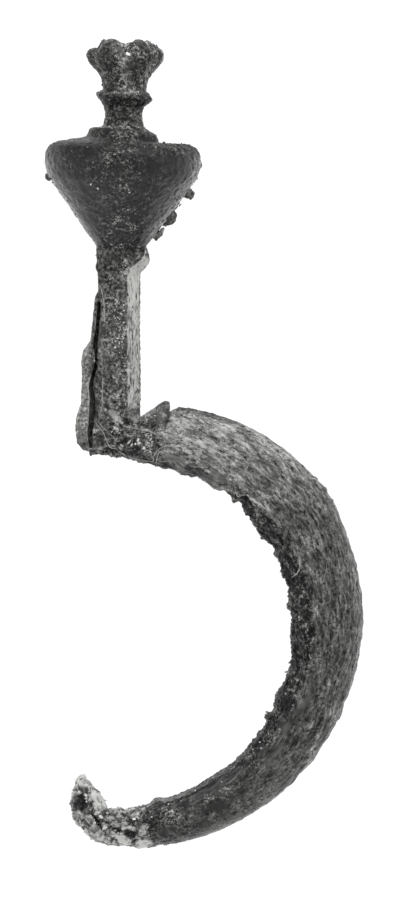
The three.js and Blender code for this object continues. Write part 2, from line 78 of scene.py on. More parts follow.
def read(mesh, layer, size=3):
    """The points or normals of a mesh as rows."""
    values = np.empty(len(layer) * size, np.float32)
    layer.foreach_get("vector" if layer == mesh.vertex_normals else "co", values)
    return values.reshape(-1, size).astype(float)


def random_field(points, size, basis="PERLIN_ORIGINAL", seed=0):
    """Random values from about -1 to 1 that change over a size in mm, or over three sizes."""
    rows = (points / np.array(size) + 17.3 * seed).tolist()
    return np.array([noise.noise(row, noise_basis=basis) for row in rows])


def between(low, high, values):
    """0 below low, 1 above high, with a soft step between them."""
    share = np.clip((values - low) / (high - low), 0, 1)
    return share * share * (3 - 2 * share)


def hump(values, middle, width, sharpness=2):
    """1 at the middle, fading out over a width on both sides."""
    return np.exp(-(np.abs((values - middle) / width) ** sharpness))


def broken_crust(points, size, where, seed):
    """For the points where the crust is: a random value for each of its cells, and 1 in the gaps between."""
    cell, gap = np.full(len(points), 0.5), np.zeros(len(points))
    for index in np.flatnonzero(where > 0):
        distances, middles = noise.voronoi((points[index] / size + 17.3 * seed).tolist())
        cell[index] = math.sin(12.9 * middles[0].x + 78.2 * middles[0].y + 37.7 * middles[0].z) * 4375.8 % 1
        gap[index] = max(0.0, 1 - (distances[1] - distances[0]) / 0.16)
    return cell, gap


def solid_copy(name):
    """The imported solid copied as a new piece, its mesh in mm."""
    mesh = brooch.data.copy()
    mesh.name = name
    mesh.materials.clear()
    piece = bpy.data.objects.new(name, mesh)
    bpy.context.scene.collection.objects.link(piece)
    points = read(mesh, mesh.vertices) / MM
    mesh.vertices.foreach_set("co", points.astype(np.float32).ravel())
    return piece


def with_modifier(piece, kind, **settings):
    """Puts one modifier on a piece and applies it."""
    modifier = piece.modifiers.new(kind.title(), kind)
    for key, value in settings.items():
        setattr(modifier, key, value)
    shaped = bpy.data.meshes.new_from_object(piece.evaluated_get(bpy.context.evaluated_depsgraph_get()))
    piece.modifiers.clear()
    piece.data = shaped
    return shaped


casting = solid_copy("brooch_casting")
with_modifier(casting, "WELD", merge_threshold=0.0005)
with_modifier(casting, "REMESH", mode="VOXEL", voxel_size=SKIN_CELL)
skin = with_modifier(casting, "SMOOTH", factor=0.5, iterations=2)

points = read(skin, skin.vertices)
normals = read(skin, skin.vertex_normals)
x, y, z = points.T
arm = points[:, :2] - np.array(BOW_CENTRE)
turn = np.degrees(np.arctan2(arm[:, 1], arm[:, 0]))
reach = np.hypot(arm[:, 0], arm[:, 1])
facing_out = (normals[:, 0] * arm[:, 0] + normals[:, 1] * arm[:, 1]) / reach
off_axis = x - KNOB_AXIS[0] - AXIS_SLOPE[0] * (y - KNOB_AXIS[1])

on_terminal = between(16.6, 17.2, y)
on_bow = (1 - on_terminal) * between(-7.4, -6.2, x + 0.25 * (1.5 - y)) * between(3.9, 3.3, y + 0.2 * x + 1.2)
on_bow = np.maximum(on_bow, between(0.4, -0.6, y))
on_foot = (1 - on_terminal) * (1 - on_bow)
swell = random_field(points, 2.6, seed=1) + 0.5 * random_field(points, 1.1, seed=2)
on_stub = on_bow * between(-4.3, -5.1, x + 0.7 * swell) * between(-27.5, -28.5, y)
on_heel = hump(y, 0.2, 1.7, 4) * hump(x, -5.9, 2.7, 4)
on_crest = between(-5.9, -5.6, x) * between(-2.75, -3.0, x + 0.25 * (3.2 - y)) * between(0.7, 2.0, y)
near_stub = on_bow * between(0.0, -3.5, x) * between(-27, -29, y)
on_lip = on_foot * between(-9.35, -9.7, x + 0.11 * np.maximum(y - 5, 0) * between(12, 5, y))
on_bevel = on_foot * between(0.42, 0.62, normals[:, 0]) * between(0.2, 0.35, normals[:, 2])
on_head = between(30.2, 30.8, y)
inner = on_bow * (1 - on_stub) * between(-0.35, -0.7, facing_out)
outer = on_bow * (1 - on_stub) * between(0.35, 0.7, facing_out)
# Painted shade: the bow's inward-facing side, darkened in the tone
painted_shade_inner_side = on_bow * between(-0.15, -0.4, facing_out)
upward = between(0.1, 0.6, normals[:, 2])

# Round the bow, out from its centre, and across: coordinates that the grain follows
grain = np.column_stack([np.radians(turn) * BOW_MIDDLE_RADIUS, reach, z])
foot_grain = np.column_stack([y, x, z])
grain = np.where((on_bow > 0.5)[:, None], grain, foot_grain)

grit = random_field(points, 0.36, "VORONOI_F1", seed=3)
fine = random_field(points, 0.32, seed=4)
coarse = random_field(points, 0.75, seed=5)
drawn = random_field(grain, (0.8, 0.26, 0.34), seed=6)
long_pits = random_field(grain, (0.9, 0.34, 0.42), "VORONOI_F1", seed=7)
wavy = random_field(grain, (2.0, 0.6, 0.9), seed=8)
smooth_patch = between(0.1, 0.5, random_field(points, 2.2, seed=9))

near_foot = between(40, 72, turn) * between(89, 84, turn)
leathery = on_bow * between(-28, -55, turn)
streaky = on_bow * (1 - on_stub) * (1 - 0.7 * on_heel) * (1 - 0.8 * on_crest) * (1 - 0.7 * leathery)
grainy = on_terminal * (0.7 + 0.3 * hump(off_axis, 0, 2.4, 4)) + on_foot * (1 - on_bevel)
grainy += on_bow * (1 - on_heel) * (0.4 + 0.4 * leathery * smooth_patch + 0.6 * near_stub)
grainy = np.clip(grainy + on_heel + on_stub + 0.3 * on_crest, 0, 1) * (1 - 0.4 * smooth_patch * on_terminal)
crust_cell, crust_gap = broken_crust(points + 0.35 * coarse[:, None], CRUST_CELL, on_stub, 13)
shade_width = SHADE_BAND[0] + SHADE_BAND[1] * hump(turn, 5, 28)
in_shade = on_bow * between(53, 47, turn) * between(-74, -60, turn) * between(
    BOW_INNER_RADIUS + shade_width + 0.3, BOW_INNER_RADIUS + shade_width - 0.1, reach + 0.2 * coarse,
)
# A sharp ridge, raised in the skin, runs along the upper end of that band; its tone is lightened as a painted
# highlight
ridge_and_painted_highlight = on_bow * between(34, 39, turn) * between(59, 52, turn) * hump(reach, 15.5 + 0.11 * (51 - turn), 0.13)


def patch(middle_x, middle_y, half_length, half_width, lean=0):
    """1 inside an oval on the upper side, with a soft edge. The lean is its long side's, in degrees."""
    along, across = math.cos(math.radians(lean)), math.sin(math.radians(lean))
    u = ((x - middle_x) * along + (y - middle_y) * across) / half_length
    v = ((y - middle_y) * along - (x - middle_x) * across) / half_width
    return between(1.25, 0.75, np.hypot(u, v) + 0.25 * coarse) * np.maximum(upward, 0.8 * on_stub)


def patches(places):
    """The same for a list of ovals."""
    return np.clip(sum(patch(*place) for place in places), 0, 1)


# Ovals by middle, half length, half width and lean: the old surface lying bare, voids, and pale slabs
BARE_PLACES = (
    (-2.5, -1.3, 1.0, 0.4, -25), (1.3, -2.9, 0.9, 0.28, -35), (2.3, -28.7, 1.4, 0.4, 35),
    (0.1, -30.1, 1.5, 0.3, 22), (1.25, -31.4, 0.9, 0.3, 15), (7.2, -24.4, 1.0, 0.35, 60),
    (6.0, -26.8, 1.4, 0.35, 50), (8.8, -22.2, 1.8, 0.35, 65), (-3.2, -33.5, 1.0, 0.3, 10),
)
DARK_CRUST = (
    (-10.7, -31.2, 0.75, 0.6, 80), (-6.45, -33.8, 0.58, 0.34, -30), (-6.06, -34.6, 0.2, 0.17),
    (-9.2, -32.8, 0.8, 0.15, -60), (-8.5, -30.9, 0.5, 0.12, -48), (-7.5, -33.5, 0.5, 0.2, -10),
    (-8.5, 20.8, 1.0, 0.7, -70), (-6.2, 16.75, 0.8, 0.16, 5), (2.8, -6.7, 0.5, 0.2, -30),
    (10.2, -6.8, 0.4, 0.14, -60), (-6.3, 0.1, 0.95, 0.42, -25), (-4.2, -0.4, 0.4, 0.35),
    (-8.9, 0.2, 0.45, 0.45), (-6.4, 1.9, 0.45, 0.22, -20), (-6.26, 27.85, 0.42, 0.2, -45),
    (-8.9, 26.8, 0.8, 0.28, 5),
)
PALE_CRUST = (
    (-10.35, -29.4, 0.75, 0.45, -20), (-9.15, -30.9, 1.1, 0.36, -52), (-6.95, -34.3, 0.8, 0.36, -25),
    (-5.15, -34.6, 0.75, 0.38, 5), (-7.66, 2.45, 0.7, 0.3, -50), (-5.8, 2.2, 0.7, 0.3, 35),
    (-3.4, 2.45, 0.32, 0.13, 30),
)
bare = patches(BARE_PLACES)
dark_crust = patches(DARK_CRUST)
pale_crust = patches(PALE_CRUST)

# How far the skin stands up or down, in mm: grain and pits, crust, then what belongs to single places
lower_foot = on_foot * between(7.5, 4.5, y) * (1 - on_lip)
relief = grainy * (0.06 * fine - 0.06 * grit) * (1 - 0.3 * on_lip)
relief += streaky * (0.13 * drawn + (0.09 + 0.1 * near_foot) * wavy - 0.1 * np.maximum(-long_pits, 0))
relief += 0.05 * coarse * (on_bow + 0.7 * on_terminal + lower_foot)
relief += on_bevel * 0.08 * random_field(foot_grain, (1.6, 0.2, 0.3), seed=10)
relief += on_stub * (0.2 * (crust_cell - 0.5) - 0.16 * crust_gap) * (1 - 0.75 * pale_crust)
relief += on_stub * (0.14 * pale_crust - 0.16 * dark_crust) + on_heel * (0.2 * coarse - 0.14 * grit)
relief += 0.12 * ridge_and_painted_highlight + in_shade * (1 - ridge_and_painted_highlight) * (1 - 0.75 * leathery) * (0.12 * coarse - 0.1 * grit - 0.06)
grainy = np.clip(grainy + 0.5 * in_shade, 0, 1)
crest_crack = hump(x - 0.36 * (y - 2.15), -3.1, 0.13) * between(1.2, 1.6, y) * on_bow
relief -= 0.1 * crest_crack
swirl = np.hypot(x - SWIRL[0], y - SWIRL[1])
relief += lower_foot * (
    0.14 * hump(swirl, 0.46, 0.13) - 0.16 * hump(swirl, 0, 0.25) - 0.08 * hump(swirl, 0.78, 0.15)
)
height = 0.05 * swell + 0.14 * on_stub * swell + relief
edge_jag = random_field(grain, (0.7, 8, 1.2), seed=11) + 0.8 * random_field(grain, (0.3, 8, 0.6), seed=12)
height += inner * (0.12 * edge_jag - INNER_WEAR) * (1 - 0.8 * leathery)
for middle_x, middle_y, rise, spread in STUB_MOUNDS:
    height += rise * np.exp(-((x - middle_x) ** 2 + (y - middle_y) ** 2) / spread)
for side, bumps in ((inner, INNER_BUMPS), (outer, OUTER_BUMPS)):
    for angle, half_length, rise in bumps:
        height += side * rise * hump(turn, angle, half_length, BUMP_SHARPNESS)

# The lobes of the head aren't alike: it is lowered at both sides and about its middle
sunk = SIDE_LOBE_DROPS[0] * between(-1.8, -2.4, off_axis) * (1 - 0.6 * between(-2.7, -3.3, off_axis))
sunk += 0.16 * hump(off_axis, -2.45, 0.16)
sunk += SIDE_LOBE_DROPS[1] * between(1.8, 2.3, off_axis) * between(3.3, 2.9, off_axis)
sunk += CLEFT_DROP * between(0.9, 0.5, np.abs(off_axis - 0.05)) - 0.16 * hump(off_axis, -0.05, 0.22)

points = points + normals * height[:, None]
points[:, 1] -= sunk * between(33.2, 34.6, y)
points[:, 2] = np.maximum(points[:, 2], 0)
skin.vertices.foreach_set("co", points.astype(np.float32).ravel())


def give(mesh, name, values, kind="FLOAT"):
    """Stores a value or a vector for each point of a mesh."""
    layer = mesh.attributes.new(name, kind, "POINT")
    layer.data.foreach_set("value" if kind == "FLOAT" else "vector", values.astype(np.float32).ravel())


# How light the colour is at each point, from 0, nearly black, to 1, nearly white: the patina's own tone, with
# painted light and shade added in the places marked below
# Painted light: the upper part of the bow near the foot is made lighter, as if lit from beyond it
painted_light_upper_bow = between(18, 72, turn) * between(14.9, 17.2, reach)
on_knob = on_terminal * between(27.3, 26.9, y)
# Painted shadow: a dark patch on the foot just below the collar, where its flare meets the front
curve = on_foot * between(14.6, 15.4, y) * hump(normals[:, 0], 0.25, 0.2)
cone_radius = 2.1 + 0.72 * (y - 17.0)
lump = between(0.02, 0.15, np.abs(off_axis) - cone_radius) * between(17.1, 17.4, y) * between(24.6, 24.2, y)
around = np.arctan2(off_axis, z - KNOB_AXIS[2] - AXIS_SLOPE[1] * (y - KNOB_AXIS[1]))
cleft = on_head * (1 - np.abs(np.sin(3 * around))) ** 2
rings = hump(y, 30.12, 0.1) * hump(off_axis, 0, 1.9, 4) + 0.7 * hump(y, 27.2, 0.1) * hump(off_axis, 0, 2.2, 4)
# Painted reflection: the steep sides near the top of the knob are lightened, standing in for the bright rims
# the white table reflects
painted_rim_reflection = on_terminal * between(25.6, 26.2, y) * between(0.4, 0.1, np.abs(normals[:, 2]))
# Painted shade: the neck is darkened under the disc of the head
painted_shade_under_disc = hump(y, 29.4, 0.45) * hump(off_axis, 0, 1.7, 4)
tone = (
    # The 0.14 hump lightens the middle of the knob's top: painted glints
    on_terminal * (0.34 + 0.14 * hump(off_axis, 0, 1.3)) + 0.34 * cleft - 0.25 * on_knob + 0.36 * lump
    + 0.26 * hump(y, 26.5, 0.35) * hump(off_axis, 0, 3.4, 4) + 0.3 * rings - 0.26 * painted_shade_under_disc + 0.3 * painted_rim_reflection
    + on_foot * (0.56 + 0.12 * hump(x, -7.0, 0.5) * hump(y, 10, 2.5, 4) - 0.25 * curve) + 0.3 * on_lip
    + on_bevel * (0.54 + 0.24 * between(9.5, 13.5, y))
    + on_bow * (0.58 + 0.42 * painted_light_upper_bow - 0.1 * painted_shade_inner_side) - 0.36 * on_crest * on_bow - 0.25 * crest_crack
    - (0.06 * between(32, 16, turn) + 0.03 * painted_shade_inner_side) * in_shade + 0.3 * ridge_and_painted_highlight - 0.14 * leathery
    - 0.25 * on_heel - 0.16 * bare
    - 0.12 * near_stub * (1 - on_stub) + on_stub * (0.52 + 0.6 * (crust_cell - 0.5) - 0.2 * crust_gap)
    - 0.2 * on_stub * between(-8.5, -6.5, x)
)
tone += pale_crust * (1.15 - tone) * 0.9 + dark_crust * (0.22 - tone) * 0.85
give(skin, "relief", relief / 0.1)
give(skin, "tone", tone)
gloss = bare + on_terminal * (1 - 0.75 * between(24, 25.5, y)) + on_bow * (0.6 - 0.4 * in_shade)
give(skin, "gloss", np.clip(gloss, 0, 1))
salt_line = leathery * hump(reach, 16.7, 0.6) * between(-78, -70, turn)
# White salt grains as bright specks in the colour; the first term, on the middle of the knob's top, is
# painted glints instead
salty = (
    0.25 * on_terminal * hump(off_axis, 0, 1.8) + 0.8 * on_foot * hump(x, -7.0, 0.8)
    + 0.6 * on_heel + 0.5 * on_stub + 0.9 * salt_line + 0.5 * in_shade
)
give(skin, "salty", np.clip(salty, 0, 1))
speckled = (
    grainy * (1 - bare) * (1 - 0.75 * pale_crust) * (1 - 0.4 * dark_crust)
    * (1 - 0.2 * on_stub - 0.2 * on_foot)
    * (1 - 0.25 * on_knob * between(18, 20.5, y) + 0.35 * on_knob * hump(off_axis, 0, 1.4)
       + 0.4 * on_heel + 0.2 * on_head)
)
give(skin, "grainy", speckled)
fibrous = np.clip(streaky + on_bevel, 0, 1) + 0.5 * on_bevel * between(12, 9, y)
give(skin, "streaky", fibrous * (1 - bare))
give(skin, "grain", grain, "FLOAT_VECTOR")
skin = with_modifier(casting, "DECIMATE", ratio=min(1, SKIN_TRIANGLES / (2 * len(skin.polygons))))
skin.vertices.foreach_set("co", (read(skin, skin.vertices) * MM).astype(np.float32).ravel())
skin.shade_smooth()
print("casting", len(skin.vertices), "points", sum(len(p.vertices) - 2 for p in skin.polygons), "triangles")


class Wire:
    """A socket of a material. Sums and products of wires and numbers add Math nodes."""

    def __init__(self, tree, socket=None):
        self.tree, self.socket = tree, socket

    def node(self, kind, settings=None, out=0, **sockets):
        """Any other node: its settings are set first, then the values or links of its sockets."""
        made = self.tree.nodes.new(kind)
        for key, value in (settings or {}).items():
            if key == "stops":
                ramp = made.color_ramp.elements
                while len(ramp) < len(value):
                    ramp.new(0.5)
                for stop, (place, shade) in zip(ramp, value):
                    stop.position = place
                    stop.color = (shade, shade, shade, 1) if isinstance(shade, float) else (*shade, 1)
            else:
                setattr(made, key, value)
        for key, value in sockets.items():
            target = made.inputs[int(key[1:]) if key[1:].isdigit() else key.replace("_", " ")]
            if isinstance(value, Wire):
                self.tree.links.new(value.socket, target)
            else:
                target.default_value = value
        return Wire(self.tree, made.outputs[out])

    def math(self, operation, a, b=0.0):
        return self.node("ShaderNodeMath", {"operation": operation}, i0=a, i1=b)

    def __add__(self, other):
        return self.math("ADD", self, other)

    __radd__ = __add__

    def __mul__(self, other):
        return self.math("MULTIPLY", self, other)

    __rmul__ = __mul__

    def __sub__(self, other):
        return self.math("SUBTRACT", self, other)

    def __rsub__(self, other):
        return self.math("SUBTRACT", other, self)


def new_finish(name):
    """A material with its empty wire and its shader."""
    material = bpy.data.materials.new(name)
    material.use_nodes = True
    tree = material.node_tree
    return material, Wire(tree), tree.nodes["Principled BSDF"]


def plug(wires, shader, **values):
    """Links or sets sockets of the shader."""
    for key, value in values.items():
        target = shader.inputs[key.replace("_", " ")]
        if isinstance(value, Wire):
            wires.tree.links.new(value.socket, target)
        else:
            target.default_value = value


def stored(wires, name, out="Fac"):
    return wires.node("ShaderNodeAttribute", {"attribute_name": name}, out)


SPECK_SIZE = 0.26
GLINT_SIZE = 0.19
CLUSTER_SIZE = 1.3
CLOUD_SIZE = 2.4
FIBRE_DENSITY = (1.6, 5.4, 4.4)  # to the mm: along the grain, out from it and across
patina, wires, shader = new_finish("corroded_bronze")
place = wires.node("ShaderNodeTexCoord", out="Object")
relief_patina_and_shade = stored(wires, "relief")
tone_wire = stored(wires, "tone")
grainy_wire = stored(wires, "grainy")
streak_wire = stored(wires, "streaky")
grain_wire = stored(wires, "grain", "Vector")
specks = wires.node(
    "ShaderNodeTexNoise", Vector=place, Scale=1 / (SPECK_SIZE * MM), Detail=3.0, Roughness=0.85,
)
glints = wires.node(
    "ShaderNodeTexNoise", Vector=place, Scale=1 / (GLINT_SIZE * MM), Detail=2.0, Roughness=0.6,
)
cluster = wires.node(
    "ShaderNodeTexNoise", Vector=place, Scale=1 / (CLUSTER_SIZE * MM), Detail=2.0, Roughness=0.6,
)
cloud = wires.node(
    "ShaderNodeTexNoise", Vector=place, Scale=1 / (CLOUD_SIZE * MM), Detail=3.0, Roughness=0.6,
)
stretched = wires.node("ShaderNodeVectorMath", {"operation": "MULTIPLY"}, i0=grain_wire, i1=FIBRE_DENSITY)
fibres = wires.node(
    "ShaderNodeTexNoise", Vector=stretched, Scale=1.0, Detail=4.0, Roughness=0.7, Distortion=0.6,
)
speck_part = grainy_wire * wires.math("MAXIMUM", 2.4 * cluster - 0.45, 0.3) * (specks - 0.5)
# Bright specks: white salt grains, and painted glints on the middle of the knob
salt_and_glint_part = stored(wires, "salty") * wires.math("MAXIMUM", glints + 0.8 * cluster - 0.98, 0.0)
# Pits: dark with patina, and darkened further in the colour as painted shade; they also sink the bump
pits_and_painted_shade = streak_wire * wires.math("MINIMUM", fibres - 0.41, 0.0)
fibre_part = streak_wire * (fibres - 0.5)
mottle = 5.2 * speck_part + 3.5 * salt_and_glint_part + 1.9 * fibre_part + 9.0 * pits_and_painted_shade
# The relief darkens the hollows and lightens the raised parts: partly the patina lying darker in the hollows,
# partly painted shade and painted light that bring the relief out
bright = tone_wire + mottle + 0.2 * relief_patina_and_shade + 0.6 * (cloud - 0.5) + 0.5 * (cluster - 0.5)
colour = wires.node(
    "ShaderNodeValToRGB",
    {"stops": [(0.0, (0.006, 0.006, 0.006)), (0.23, (0.03, 0.03, 0.029)), (0.5, (0.12, 0.12, 0.116)),
               (0.77, (0.32, 0.32, 0.31)), (1.0, (0.62, 0.62, 0.6))]},
    Fac=bright * (1 / 1.3),
)
bump = wires.node(
    "ShaderNodeBump", Strength=1.0, Distance=0.25 * MM, Height=0.8 * speck_part + fibre_part + 2.5 * pits_and_painted_shade,
)
sheen = stored(wires, "gloss")
plug(
    wires, shader, Base_Color=colour, Metallic=0.0, Roughness=0.7 - 0.15 * sheen, Specular_IOR_Level=0.15,
    Coat_Weight=sheen, Coat_Roughness=0.12, Coat_IOR=1.3, Normal=bump,
)
skin.materials.append(patina)
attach(casting, "root")
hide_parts("brooch")

# Soil and corrosion products that stuck to the metal: angular flakes that stand off the right side of
# the knob, and grains all over the rough parts. Each is a small broken lump, half sunk in the skin.
CHIPS = (  # middle in mm, length, share of the length across, and lean of the long side
    (-1.3, 21.75, 6.2, 1.1, 0.45, 62), (-2.05, 20.6, 6.4, 0.4, 0.5, 50), (-3.65, 18.3, 6.0, 1.0, 0.6, 70),
    (-0.5, 24.25, 6.4, 0.6, 0.7, 60), (-0.68, 23.2, 6.4, 0.55, 0.6, 85), (-12.95, 23.0, 6.3, 0.5, 0.7, 60),
    (-11.6, 26.25, 6.4, 0.4, 0.7, 20),
    (5.5, -23.8, 4.2, 0.5, 0.9, 0), (5.5, -23.25, 4.2, 0.32, 0.9, 0), (7.14, -19.83, 4.4, 0.35, 0.9, 30),
    (7.49, -18.97, 4.6, 0.3, 0.9, 0), (11.73, -23.47, 4.4, 0.4, 0.8, 60),
)
CRUMB_CORNERS = 9
chance = np.random.default_rng(4)
tree = BVHTree.FromObject(casting, bpy.context.evaluated_depsgraph_get())


def on_top(x, y):
    """Where a line straight down at x and y, in mm, meets the casting, or the nearest place beside it."""
    above = Vector((x, y, 50)) * MM
    met = tree.ray_cast(above, Vector((0, 0, -1)))[0]
    return (met or tree.find_nearest(above * Vector((1, 1, 0.1)))[0]) / MM


def broken_lump(middle, length, flatness, lean):
    """Corners and faces of a small angular lump, longest along its lean in the picture's plane."""
    lump = bmesh.new()
    for direction in chance.normal(size=(CRUMB_CORNERS, 3)):
        direction /= np.linalg.norm(direction)
        lump.verts.new(Vector(direction * length / 2 * (1, flatness, flatness)))
    made = bmesh.ops.convex_hull(lump, input=lump.verts)
    bmesh.ops.delete(lump, geom=made["geom_interior"] + made["geom_unused"], context="VERTS")
    laid = Matrix.Translation(middle) @ Matrix.Rotation(math.radians(lean), 4, "Z")
    bmesh.ops.transform(lump, matrix=laid, verts=lump.verts)
    lump.verts.index_update()
    corners = [tuple(corner.co * MM) for corner in lump.verts]
    faces = [[corner.index for corner in face.verts] for face in lump.faces]
    lump.free()
    return corners, faces


def heap(name, lumps, finish):
    """One piece made of separate small closed lumps, each with a shade of its own."""
    corners, faces, shades = [], [], []
    for lump_corners, lump_faces in lumps:
        faces += [[len(corners) + i for i in face] for face in lump_faces]
        corners += lump_corners
        shades += [chance.random()] * len(lump_corners)
    mesh = bpy.data.meshes.new(name)
    mesh.from_pydata(corners, [], faces)
    give(mesh, "shade", np.array(shades))
    mesh.materials.append(finish)
    piece = bpy.data.objects.new(name, mesh)
    bpy.context.scene.collection.objects.link(piece)
    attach(piece, "root")
    return piece


spots = read(skin, skin.vertices) / MM
slopes = read(skin, skin.vertex_normals)


def scattered(count, where, smallest, largest, out=0.2):
    """Small lumps at random points of the skin, more of them where the weight is higher. Their middle
    stands out from it by a share of their length."""
    made = []
    for index in chance.choice(len(spots), count, p=where / where.sum()):
        length = smallest + (largest - smallest) * chance.random() ** 2
        middle = Vector(spots[index] + slopes[index] * length * out)
        middle.z = max(middle.z, length / 2)
        made.append(broken_lump(middle, length, 0.55 + 0.4 * chance.random(), 360 * chance.random()))
    return made


soil, wires, shader = new_finish("soil_crumbs")
shade = stored(wires, "shade")
place = wires.node("ShaderNodeTexCoord", out="Object")
dust = wires.node("ShaderNodeTexNoise", Vector=place, Scale=1 / (0.2 * MM), Detail=3.0, Roughness=0.7)
earth = wires.node(
    "ShaderNodeValToRGB",
    {"stops": [(0.0, (0.02, 0.02, 0.02)), (0.5, (0.1, 0.1, 0.097)), (1.0, (0.34, 0.34, 0.33))]},
    Fac=0.6 * shade + 1.6 * (dust - 0.5) + 0.25,
)
grained = wires.node("ShaderNodeBump", Strength=0.6, Distance=0.1 * MM, Height=dust)
plug(wires, shader, Base_Color=earth, Roughness=0.6, Normal=grained)

sx, sy, sz = spots.T
s_arm = spots[:, :2] - np.array(BOW_CENTRE)
s_turn = np.degrees(np.arctan2(s_arm[:, 1], s_arm[:, 0]))
s_reach = np.hypot(s_arm[:, 0], s_arm[:, 1])
low_bow = between(-1.0, -2.0, sy) * between(-15, -35, s_turn) * between(18, 16.4, s_reach)
knob_area = between(15.5, 16.5, sy)
stub_area = between(-4.0, -5.5, sx) * between(-27.5, -28.5, sy)
heel_area = hump(sy, 0.0, 1.6, 4) * hump(sx, -4.5, 4.0, 4)
ring_area = hump(sy, 30.12, 0.07) * hump(sx, -6.7, 1.4, 4)
ring_area = ring_area + 0.8 * hump(sy, 27.2, 0.07) * hump(sx, -6.9, 1.6, 4)
ring_area = ring_area * between(0.3, 0.7, slopes[:, 2])
stem_area = hump(sx, -7.2, 0.45, 4) * hump(sy, 9.8, 2.4, 4) * between(0.3, 0.7, slopes[:, 2])
lumps = [
    broken_lump(Vector((cx, cy, cz)), length, flatness, lean)
    for cx, cy, cz, length, flatness, lean in CHIPS
]
soiled = 0.5 * knob_area + 0.6 * stub_area + 2.5 * heel_area + 1.2 * low_bow + 0.06
lumps += scattered(900, soiled, 0.08, 0.32, 0.1)
heap("soil_crumbs", lumps, soil)

# Pale crust of corrosion on the broken stub: slabs and lumps grown together, with dark gaps between.
SLABS = (  # middle in mm, length, share of it across, and lean
    (-10.2, -29.5, 1.2, 0.6, -22), (-9.3, -30.8, 1.1, 0.5, -48), (-8.79, -31.57, 1.2, 0.45, -40),
    (-6.88, -34.3, 1.3, 0.5, -25), (-5.2, -34.5, 1.2, 0.5, 5), (-11.0, -32.6, 0.8, 0.6, -50),
    (-7.9, -32.5, 0.8, 0.55, -30), (-9.7, -33.3, 0.6, 0.7, 20), (-6.9, -32.8, 0.6, 0.6, 15),
)
crust, wires, shader = new_finish("pale_crust")
shade = stored(wires, "shade")
place = wires.node("ShaderNodeTexCoord", out="Object")
gaps = wires.node("ShaderNodeTexNoise", Vector=place, Scale=1 / (0.3 * MM), Detail=4.0, Roughness=0.75)
pale = wires.node(
    "ShaderNodeValToRGB",
    {"stops": [(0.0, (0.03, 0.03, 0.03)), (0.35, (0.16, 0.16, 0.155)), (1.0, (0.6, 0.6, 0.58))]},
    Fac=0.5 * shade + 1.6 * (gaps - 0.5) + 0.35,
)
pitted = wires.node("ShaderNodeBump", Strength=1.0, Distance=0.15 * MM, Height=gaps)
plug(wires, shader, Base_Color=pale, Roughness=0.5, Normal=pitted)
slabs = [
    broken_lump(on_top(cx, cy) - Vector((0, 0, 0.17 * length)), length, flatness, lean)
    for cx, cy, length, flatness, lean in SLABS
]
slabs += scattered(50, stub_area, 0.25, 0.6, -0.15)
heap("crust_slabs", slabs, crust)

# White crystals that grew on the break, in the heel's hollow and here and there on the knob and bow.
CRYSTALS = (  # place in mm and length
    (-6.45, 33.25, 0.5), (-9.61, 22.09, 0.18), (-9.0, 21.74, 0.22), (-6.34, 21.39, 0.24), (-7.6, 1.34, 0.36),
    (-7.86, 0.99, 0.28), (-6.4, 0.12, 0.4), (-6.12, -0.08, 0.34), (-5.65, 0.32, 0.3), (-5.5, 0.01, 0.4),
    (-5.07, -0.42, 0.4), (-4.57, 0.42, 0.36), (-4.4, 0.2, 0.24), (-3.39, 0.78, 0.18), (-4.17, 2.42, 0.16),
    (-2.68, -0.76, 0.16), (-0.72, -1.27, 0.18), (-9.4, 7.14, 0.16), (-10.7, -30.22, 0.4),
    (-10.18, -30.48, 0.3), (-10.18, -30.74, 0.4), (-9.22, -31.96, 0.5),
    (-8.88, -32.3, 0.36), (-8.53, -33.25, 0.52), (-9.4, -32.82, 0.24), (-8.27, -32.04, 0.36),
    (-6.02, -32.48, 0.3), (-5.76, -32.39, 0.42), (-7.66, -33.51, 0.2), (-7.4, -33.69, 0.2),
    (-8.2, -34.2, 0.2),
)
white_salt, wires, shader = new_finish("white_crystals")
shade = stored(wires, "shade")
salt = wires.node(
    "ShaderNodeValToRGB", {"stops": [(0.0, (0.45, 0.45, 0.44)), (1.0, (0.85, 0.85, 0.84))]}, Fac=shade,
)
plug(wires, shader, Base_Color=salt, Roughness=0.25, Coat_Weight=0.5)
crystals = [
    broken_lump(on_top(cx, cy) + Vector((0, 0, 0.1)), 1.3 * length, 0.7, 360 * chance.random())
    for cx, cy, length in CRYSTALS
]
salted = 0.01 * knob_area + 0.9 * stub_area + 0.8 * heel_area + 0.45 * low_bow
crystals += scattered(240, salted, 0.08, 0.24)
crystals += scattered(70, stem_area, 0.1, 0.26, 0.3) + scattered(36, ring_area, 0.08, 0.2, 0.3)
heap("white_crystals", crystals, white_salt)

